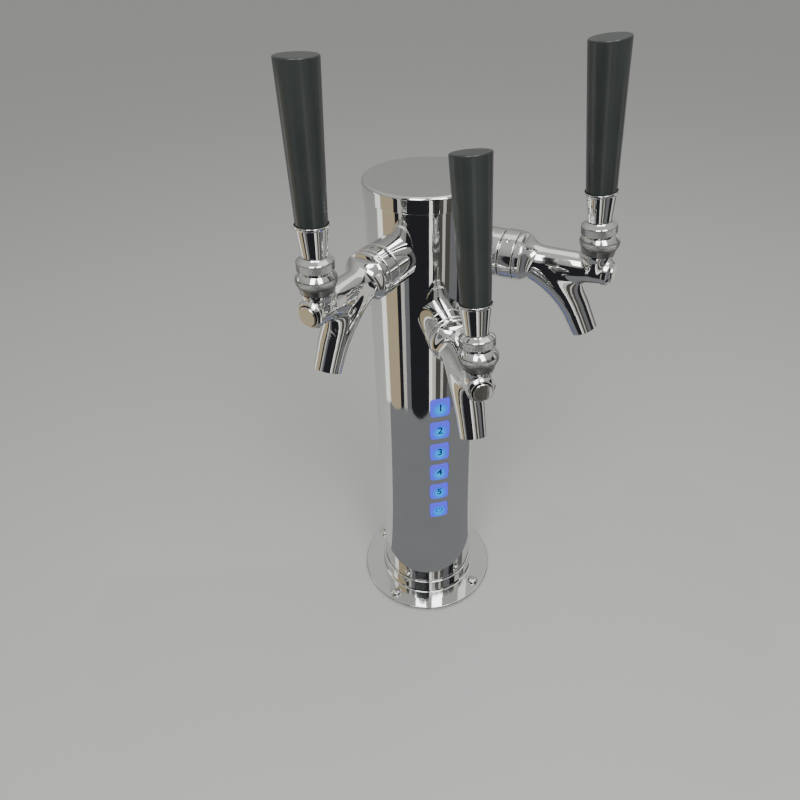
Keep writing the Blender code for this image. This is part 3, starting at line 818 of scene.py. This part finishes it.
def faucet_body():
    """The casting with its turned shoulder, boss rim and spout lip, and its waterway cut through."""
    casting = contoured("casting", (-21.5, -62.0, 82.0), (21.5, 17.0, 158.0), CASTING_CELL)
    shoulder = turned("shoulder", rounded((
        (TAIL_START, 0), (TAIL_START, TAIL_R), (SHOULDER_START, TAIL_R), (SHOULDER_START, SHOULDER_R, 0.6),
        (86.9, SHOULDER_R, 1.2), (88.4, 17.0), (89.0, 0),
    )))
    rim = turned("rim", rounded((
        (145.0, 0), (145.0, 7.0), (148.9, 10.0), (150.9, BOSS_RIM_R, 1.2), (BOSS_RIM, BOSS_RIM_R, 1.4),
        (BOSS_END, 8.9, 0.8), (BOSS_END, 0),
    )))
    lip_r = SPOUT_R + 0.01
    lip = turned("lip", rounded(((-4.0, 0), (-4.0, lip_r), (0.0, lip_r, 0.6), (0.0, 0))), 96)
    to_mouth = shift(y=SPOUT_MOUTH[1], z=SPOUT_MOUTH[0]) @ Matrix.Rotation(math.pi / 2 - SPOUT_LEAN, 4, "X")
    chamber = turned("chamber", (
        (TAIL_START - 1, 0), (TAIL_START - 1, CHAMBER_R), (100.6, CHAMBER_R), (102.8, ROD_BORE_R),
        (FRONT_BORE_START, ROD_BORE_R), (FRONT_BORE_START, FRONT_BORE_R), (BOSS_END + 1, FRONT_BORE_R),
        (BOSS_END + 1, 0),
    ), 96)
    waterway = turned("waterway", rounded((
        (-26.0, 0), (-26.0, SPOUT_BORE_R), (-0.8, SPOUT_BORE_R, 0.4), (1.0, SPOUT_BORE_R + 1.6), (1.0, 0)
    )), 96)
    mesh = combined(
        "faucet_body", casting, ("UNION", shoulder), ("UNION", rim), ("UNION", moved(lip, to_mouth)),
        ("DIFFERENCE", chamber), ("DIFFERENCE", moved(waterway, to_mouth)),
    )
    return true_normals(mesh, casting_normals)


# ---------------------------------------------------------------- turned pieces of the faucet
def knurl(count, band):
    """Diamond points inside a band: two families of crossed grooves, each with count grooves round it."""
    low, high = band[0][0] + 1e-6, band[-1][0] - 1e-6

    def wave(along, turn):
        if not low < along < high:
            return 0
        first = (along / KNURL_PITCH + turn * count / math.tau) % 1
        second = (along / KNURL_PITCH - turn * count / math.tau) % 1
        groove = max(abs(first - 0.5), abs(second - 0.5)) * 2
        return -KNURL_DEPTH * groove**2
    return wave


def collar():
    """The sleeve round the shank, saddle-cut to the column."""
    section = rounded((
        (44, SHANK_HOLE_R), (44, COLLAR_R), (COLLAR_END, COLLAR_R, 1.1), (COLLAR_END, SHANK_HOLE_R)
    ))
    saddle = cylinder("saddle", -40, 40, COLUMN_R + 0.1, COLUMN_STEPS)
    upright = Matrix.Rotation(math.radians(90), 4, "X")
    mesh = combined("collar", turned("collar", section), ("DIFFERENCE", moved(saddle, upright)))
    return true_normals(mesh, radial_normals(COLLAR_R))


def coupling_nut():
    """A round nut with a hole for a pin spanner."""
    section = rounded((
        (NUT_START, 12.0), (NUT_START, NUT_R - 1.3, 0.3), (NUT_START + 1.5, NUT_R, 0.5),
        (NUT_END, NUT_R, 0.9), (NUT_END, NUT_THREAD_R), (73.0, NUT_THREAD_R), (73.0, 12.0),
    ))
    hole = cylinder("spanner_hole", 16.6, 24, 1.8, 32)
    upright = Matrix.Rotation(math.radians(-90), 4, "X")
    turn = Matrix.Rotation(math.radians(SPANNER_HOLE_TURN), 4, "Z")
    hole = moved(hole, turn @ shift(z=(NUT_START + NUT_END) / 2) @ upright)
    mesh = combined("coupling_nut", turned("coupling_nut", section), ("DIFFERENCE", hole))
    return true_normals(mesh, radial_normals(NUT_R))


def bonnet():
    """The polished dome above the bonnet's knurled wall, round the lever's opening."""
    seat = arc(BONNET_SEAT_R, (35, 29, 22))
    crown = arc(BONNET_DOME_R, (44, 47, 50, 53))
    section = rounded((
        (9.0, 9.7), (9.0, 13.3), (9.2, 13.75, 0.15), (10.4, 13.0, 0.8), *crown, (13.95, 9.5, 0.2),
        (13.3, 9.3, 0.2), (11.5, 9.3), *seat, (3.0, 9.2), (3.0, 9.7),
    ), 8)
    return turned("bonnet", section)


def bonnet_wall():
    """The bulging knurled wall of the bonnet, on a smooth foot that tapers down to the socket."""
    band = []
    for k in range(KNURL_ROWS + 1):
        along = 3.2 + 5.8 * k / KNURL_ROWS
        away = abs(along - BONNET_BULGE_Z)
        square, cube = (0.05, 0.012) if along < BONNET_BULGE_Z else (0.075, 0.02)
        band.append((along, BONNET_BULGE_R - square * away**2 - cube * away**3))
    low = SOCKET_TOP + GAP - PIVOT_Z
    section = [(low, 9.75), (low, 12.2), (-1.1, 12.4), (3.0, 13.3), *band, (9.1, 13.3), (9.1, 9.75)]
    return turned("bonnet_wall", section, 336, knurl(42, band))


def lock_ring():
    """The lock ring's hollow underside and its sloping top, either side of the knurled band."""
    hollow = arc(RING_HOLLOW_R, (73, 67, 61, 55, 49))
    section = rounded((
        (hollow[0][0], STUD_HOLE_R), *hollow, (13.15, 11.9, 0.1), (14.6, 12.9), (14.9, 12.4), (19.9, 12.4),
        (20.2, 12.95, 0.15), (20.8, 12.5, 0.4), (22.9, 10.0, 0.8), (RING_TOP, 9.4, 0.3),
        (RING_TOP, STUD_HOLE_R),
    ), 5)
    return turned("lock_ring", section)


def lock_band():
    """The knurled band of the lock ring."""
    band = [(14.7 + 5.4 * k / KNURL_ROWS, 13.1) for k in range(KNURL_ROWS + 1)]
    section = [(14.6, 11.0), (14.6, 12.5), *band, (20.2, 12.5), (20.2, 11.0)]
    return turned("lock_band", section, 320, knurl(40, band))


def ferrule():
    """The flared cone under the handle, with a thin rim round the handle's foot."""
    section = rounded((
        (FERRULE_START, STUD_HOLE_R), (FERRULE_START, 9.0, 0.3), (26.0, 9.2, 3.0), (43.2, 11.2, 1.5),
        (44.2, 11.95, 0.4), (FERRULE_TOP, 11.9, 0.4), (FERRULE_TOP, 11.4), (41.0, 10.6), (41.0, STUD_HOLE_R),
    ), 6)
    return turned("ferrule", section)


def grip():
    """The handle, which widens to its flat top."""
    section = rounded((
        (GRIP_START, 0), (GRIP_START, 10.2), (45.6, 10.75, 0.3), (GRIP_END, GRIP_TOP_R + 0.03, 1.1),
        (GRIP_END, 0),
    ), 12)
    return turned("grip", section, 160)


def lever():
    """The finger, the ball and the threaded stud, turned in one."""
    finger = arc(FINGER_R, range(-90, 51, 10), -PIVOT_Z)
    finger[0] = (-PIVOT_Z - FINGER_R, 0)
    ball = arc(BALL_R, range(-74, 65, 6))
    stud = [
        (7.4, LEVER_STEM_R), (STUD_START, LEVER_STEM_R), (STUD_START, STUD_R), (STUD_END, STUD_R),
        (STUD_END, 0),
    ]
    return turned("lever", [*finger, *ball, *stud], 64)


def valve_plug(side):
    """The valve shaft: slotted front end, rod and rear nut.

    The slot is where the closed lever's finger is, and it widens at its top to clear the lever as it tips.
    """
    section = rounded((
        (91.0, 0), (91.0, 4.8), (95.4, 4.8), (95.4, ROD_R), (131.0, ROD_R), (131.0, SHAFT_R),
        (SHAFT_FRONT - 0.45, SHAFT_R, 0.3), (SHAFT_FRONT, SHAFT_R - 0.45, 0.3), (SHAFT_FRONT, 0),
    ))
    rod = turned("valve_plug", section, 96)
    back = -lever_place(side).col[2].dot(faucet_place(side).col[2])
    rest = STEM_REACH + PIVOT_Z * back
    upright = Matrix.Rotation(math.radians(-90), 4, "X")
    cuts = []
    for name, length, low, middle in (("slot", 6.8, -3.4, rest), ("neck", 8.8, 2.2, rest + 1.0)):
        cut = rounded_prism(name, 9.8, length, 0.2, 0, 12, 2)
        cuts.append(("DIFFERENCE", moved(cut, shift(y=low, z=middle) @ upright)))
    return combined("valve_plug", rod, *cuts)


def build_faucets(finish):
    """Every faucet is the same set of pieces, but for the slot in its valve shaft."""
    casting, nut, sleeve = faucet_body(), coupling_nut(), collar()
    dome, wall, rod = bonnet(), bonnet_wall(), lever()
    lock, lock_knurl, cone, handle = lock_ring(), lock_band(), ferrule(), grip()
    for side in SIDES:
        out, stem, tilted = faucet_place(side), stem_place(side), lever_place(side)
        arm, valve = f"{side}_lever_arm", f"{side}_valve"
        rows = (
            ("casting", casting, out, "tower", "chrome", "faucet_body", False),
            ("nut", nut, out, "tower", "chrome", "coupling_nut", False),
            ("collar", sleeve, out, "tower", "chrome", "shank_collar", False),
            ("dome", dome, stem, "tower", "chrome", "bonnet", True),
            ("wall", wall, stem, "tower", "knurl", "bonnet", False),
            ("rod", rod, tilted, arm, "chrome", "lever", True),
            ("lock", lock, tilted, arm, "chrome", "lock_ring", True),
            ("lock_knurl", lock_knurl, tilted, arm, "knurl", "lock_ring", False),
            ("cone", cone, tilted, arm, "chrome", "ferrule", True),
            ("grip", handle, tilted, arm, "plastic", "handle_grip", True),
            ("plug", valve_plug(side), out, valve, "chrome", "valve_shaft", True),
        )
        for name, mesh, where, body, look, node, weighted in rows:
            piece(f"{side}_{name}", mesh, where, body, finish[look], [f"{side}_{node}"], weighted)


# ---------------------------------------------------------------- keys
def key_ring(inset):
    """The outline of a key, in from its edge by inset, with the straight sides divided up."""
    width, height = KEY_WIDTH / 2 - inset, KEY_HEIGHT / 2 - inset
    corner = max(KEY_CORNER - inset, 0.05)
    corners = []
    for quarter, (side, up) in enumerate(((1, 1), (-1, 1), (-1, -1), (1, -1))):
        turns = [math.radians(90 * (quarter + k / 8)) for k in range(9)]
        middle = Vector((side * (width - corner), up * (height - corner)))
        corners.append([middle + corner * Vector((math.cos(turn), math.sin(turn))) for turn in turns])
    ring = []
    for bend, following in zip(corners, corners[1:] + corners[:1]):
        ring += bend
        ring += [bend[-1].lerp(following[0], k / 6) for k in range(1, 6)]
    return ring


def key_shell():
    """A key with a soft rim, its face following the column, drawn about the key's middle."""
    face = COLUMN_R + KEY_STAND
    rows = [(KEY_BACK, 0.0), (face - KEY_RIM_R, 0.0)]
    for k in range(1, 7):
        turn = math.radians(15 * k)
        rows.append((face - KEY_RIM_R + KEY_RIM_R * math.sin(turn), KEY_RIM_R * (1 - math.cos(turn))))
    rows += [(face, 1.4 + 0.9 * k) for k in range(9)]
    verts, faces = [], []
    for reach, inset in rows:
        ring = key_ring(inset)
        for point in ring:
            turn = point.x / COLUMN_R
            verts.append((reach * math.sin(turn), -reach * math.cos(turn), point.y))
    count = len(ring)
    for row in range(len(rows) - 1):
        for k in range(count):
            j = (k + 1) % count
            base = row * count
            faces.append([base + k, base + j, base + count + j, base + count + k])
    faces.append(list(range(count)))
    faces.append(list(range(len(verts) - count, len(verts))))
    return closed_mesh("key_shell", verts, faces)


def wrapped(mesh):
    """Bends a flat drawing in x and y round the column's front, as ink on a key's face."""
    for vert in mesh.vertices:
        turn = vert.co.x / MM / COLUMN_R
        out = INK_REACH + vert.co.z / MM
        height = vert.co.y
        vert.co = Vector((out * math.sin(turn) * MM, -out * math.cos(turn) * MM, height))
    return mesh


def digit(character):
    """A numeral as a thin film of ink."""
    curve = bpy.data.curves.new("digit", "FONT")
    curve.body = character
    curve.size = DIGIT_SIZE * MM
    curve.align_x = "CENTER"
    curve.align_y = "CENTER"
    curve.extrude = INK_HALF * MM
    curve.offset = DIGIT_WEIGHT * MM
    obj = bpy.data.objects.new("digit", curve)
    bpy.context.scene.collection.objects.link(obj)
    graph = bpy.context.evaluated_depsgraph_get()
    mesh = bpy.data.meshes.new_from_object(obj.evaluated_get(graph))
    bpy.data.objects.remove(obj)
    return wrapped(mesh)


def power_mark():
    """An open ring with a bar through its gap."""
    bm = bmesh.new()
    rows = []
    for k in range(41):
        turn = math.radians(125 + 290 * k / 40)
        rows.append([
            bm.verts.new((r * math.cos(turn) * MM, (r * math.sin(turn) - 0.4) * MM, h * MM))
            for r, h in ((2.5, -INK_HALF), (3.2, -INK_HALF), (3.2, INK_HALF), (2.5, INK_HALF))
        ])
    for first, second in zip(rows, rows[1:]):
        for k in range(4):
            bm.faces.new((first[k], first[(k + 1) % 4], second[(k + 1) % 4], second[k]))
    bm.faces.new(rows[0])
    bm.faces.new(rows[-1])
    bar = bmesh.ops.create_cube(bm, size=MM)["verts"]
    bmesh.ops.scale(bm, vec=(0.75, 3.2, 2 * INK_HALF), verts=bar)
    bmesh.ops.translate(bm, vec=Vector((0, 1.7, 0)) * MM, verts=bar)
    bmesh.ops.recalc_face_normals(bm, faces=bm.faces)
    mesh = bpy.data.meshes.new("power_mark")
    bm.to_mesh(mesh)
    bm.free()
    return wrapped(mesh)


def build_keys(finish):
    shell = key_shell()
    for number in range(1, KEYS + 1):
        where = place(z=key_height(number))
        name = f"key_{number}"
        piece(f"{name}_shell", shell, where, name, finish["glow"], [name])
        mark = power_mark() if number == KEYS else digit(str(number))
        piece(f"{name}_mark", mark, where, name, finish["ink"], weighted=False)


# ---------------------------------------------------------------- CAD nodes that stay
def finish_cad(finish):
    """Inner and lesser pieces keep their CAD shape and take a better finish."""
    by_slot = {
        "chrome": "chrome", "brass": "brass", "rubber": "rubber", "board": "board", "bracket": "bracket",
        "black_plastic": "plastic", "key_plastic": "glow",
    }
    slots = {row["node"]: row["material_slot"] for row in frame["record"]["subparts"]}
    for name, node in frame["nodes"].items():
        material = finish[by_slot[slots[name]]]
        node.data.materials.clear()
        node.data.materials.append(material)


# ---------------------------------------------------------------- studio
def add_camera():
    """A camera above and in front of the tower, to the left, that looks down at it."""
    heading, dip, roll = (math.radians(a) for a in (CAMERA_HEADING, CAMERA_DIP, CAMERA_ROLL))
    ahead = Vector((math.sin(heading) * math.cos(dip), math.cos(heading) * math.cos(dip), -math.sin(dip)))
    level = Vector((math.cos(heading), -math.sin(heading), 0))
    upward = level.cross(ahead)
    across = math.cos(roll) * level + math.sin(roll) * upward
    upward = -math.sin(roll) * level + math.cos(roll) * upward
    data = bpy.data.cameras.new("camera")
    data.lens = CAMERA_LENS
    data.clip_start = 0.01
    camera = bpy.data.objects.new("camera", data)
    camera.matrix_world = (
        Matrix.Translation(AXIS + Vector(CAMERA_PLACE) * MM)
        @ Matrix((across, upward, -ahead)).transposed().to_4x4()
    )
    bpy.context.scene.collection.objects.link(camera)
    bpy.context.scene.camera = camera


def add_light(name, azimuth, elevation, distance, size, power):
    """A soft box that faces the tower's middle. Azimuth is in degrees from the front, towards the right."""
    turn, rise = math.radians(azimuth), math.radians(elevation)
    target = AXIS + Vector((0, 0, LIGHT_AIM))
    away = Vector((math.sin(turn) * math.cos(rise), -math.cos(turn) * math.cos(rise), math.sin(rise)))
    data = bpy.data.lights.new(name, "AREA")
    data.shape = "RECTANGLE"
    data.size, data.size_y = size
    data.energy = power
    light = bpy.data.objects.new(name, data)
    light.location = target + away * distance
    light.rotation_euler = away.to_track_quat("Z", "Y").to_euler()
    bpy.context.scene.collection.objects.link(light)


def add_reflector(name, verts, tone):
    """A glowing card that shows only in reflections, to give the chrome something dark or light to mirror."""
    mesh = bpy.data.meshes.new(name)
    mesh.from_pydata(verts, [], [tuple(range(len(verts)))])
    n = Nodes(name)
    n.set("Base Color", (0, 0, 0, 1))
    n.set("Specular IOR Level", 0.0)
    n.set("Emission Color", (*tone, 1))
    n.set("Emission Strength", 1.0)
    mesh.materials.append(n.material)
    card = bpy.data.objects.new(name, mesh)
    bpy.context.scene.collection.objects.link(card)
    for rays in ("visible_camera", "visible_diffuse", "visible_shadow", "visible_transmission"):
        setattr(card, rays, False)


def around(azimuth, distance, height):
    """A point in metres from the column's axis. Azimuth is in degrees from the front, towards the right."""
    turn = math.radians(azimuth)
    return AXIS + Vector((math.sin(turn) * distance, -math.cos(turn) * distance, height))


def add_surroundings():
    """A grey counter, and round it a room of upright bands, each given by its last azimuth and its tone."""
    bands = (
        (-97, WHITE_BAND), (-70, TAN_BAND), (-62, DARK_BAND), (-55, LIGHT_BAND), (-46, MID_BAND),
        (-9, DARK_BAND), (-3, WHITE_BAND), (4, LIGHT_BAND), (14, DUSK_BAND), (19, LIGHT_BAND),
        (28, DUSK_BAND), (44, MID_BAND), (60, DARK_BAND), (75, LIGHT_BAND), (95, MID_BAND), (112, LIGHT_BAND),
    )
    start = -110
    for number, (end, tone) in enumerate(bands, start=1):
        low = [around(azimuth, ROOM_DISTANCE, 0.0) for azimuth in (start, end)]
        high = [around(azimuth, ROOM_DISTANCE, ROOM_HEIGHT) for azimuth in (end, start)]
        add_reflector(f"band_{number}", low + high, tone)
        start = end
    rim = [around(azimuth, ROOM_DISTANCE, COUNTER_LIFT) for azimuth in range(-100, 101, 10)]
    near = [around(azimuth, COUNTER_START, COUNTER_LIFT) for azimuth in range(100, -101, -10)]
    add_reflector("counter", rim + near, COUNTER_TONE)


def add_floor(finish):
    mesh = bpy.data.meshes.new("floor")
    corners = [(x * FLOOR_HALF, y * FLOOR_HALF, 0) for x, y in ((-1, -1), (1, -1), (1, 1), (-1, 1))]
    mesh.from_pydata(corners, [], [(0, 1, 2, 3)])
    mesh.materials.append(finish["floor"])
    floor = bpy.data.objects.new("floor", mesh)
    floor.location.z = -FLOOR_DROP
    bpy.context.scene.collection.objects.link(floor)


def add_world():
    """A grey sky that grows lighter upwards."""
    world = bpy.data.worlds.new("studio")
    world.use_nodes = True
    tree = world.node_tree
    place_node = tree.nodes.new("ShaderNodeTexCoord")
    split = tree.nodes.new("ShaderNodeSeparateXYZ")
    rise = tree.nodes.new("ShaderNodeValToRGB")
    tree.links.new(place_node.outputs["Generated"], split.inputs["Vector"])
    tree.links.new(split.outputs["Z"], rise.inputs["Fac"])
    tree.links.new(rise.outputs["Color"], tree.nodes["Background"].inputs["Color"])
    stops = rise.color_ramp.elements
    stops[0].position, stops[0].color = 0.0, (0.27, 0.27, 0.262, 1)
    stops[1].position, stops[1].color = 0.75, (0.60, 0.60, 0.575, 1)
    tree.nodes["Background"].inputs["Strength"].default_value = 0.9
    bpy.context.scene.world = world


def add_studio(finish):
    add_floor(finish)
    add_world()
    add_light("window_left", -33, 48, 1.5, (0.5, 0.85), 9)
    add_light("window_right", 13, 48, 1.5, (0.5, 0.85), 9)
    add_light("overhead", 120, 70, 1.8, (1.4, 1.4), 5)
    add_surroundings()


def main():
    finish = {
        "chrome": chrome(), "knurl": satin_chrome(), "plastic": handle_plastic(), "rubber": rubber(),
        "brass": brass(), "board": board_mask(), "bracket": bracket_metal(), "glow": key_glow(),
        "ink": key_ink(), "floor": floor_finish(),
    }
    add_camera()
    finish_cad(finish)
    build_column(finish)
    build_faucets(finish)
    build_keys(finish)
    add_studio(finish)


main()
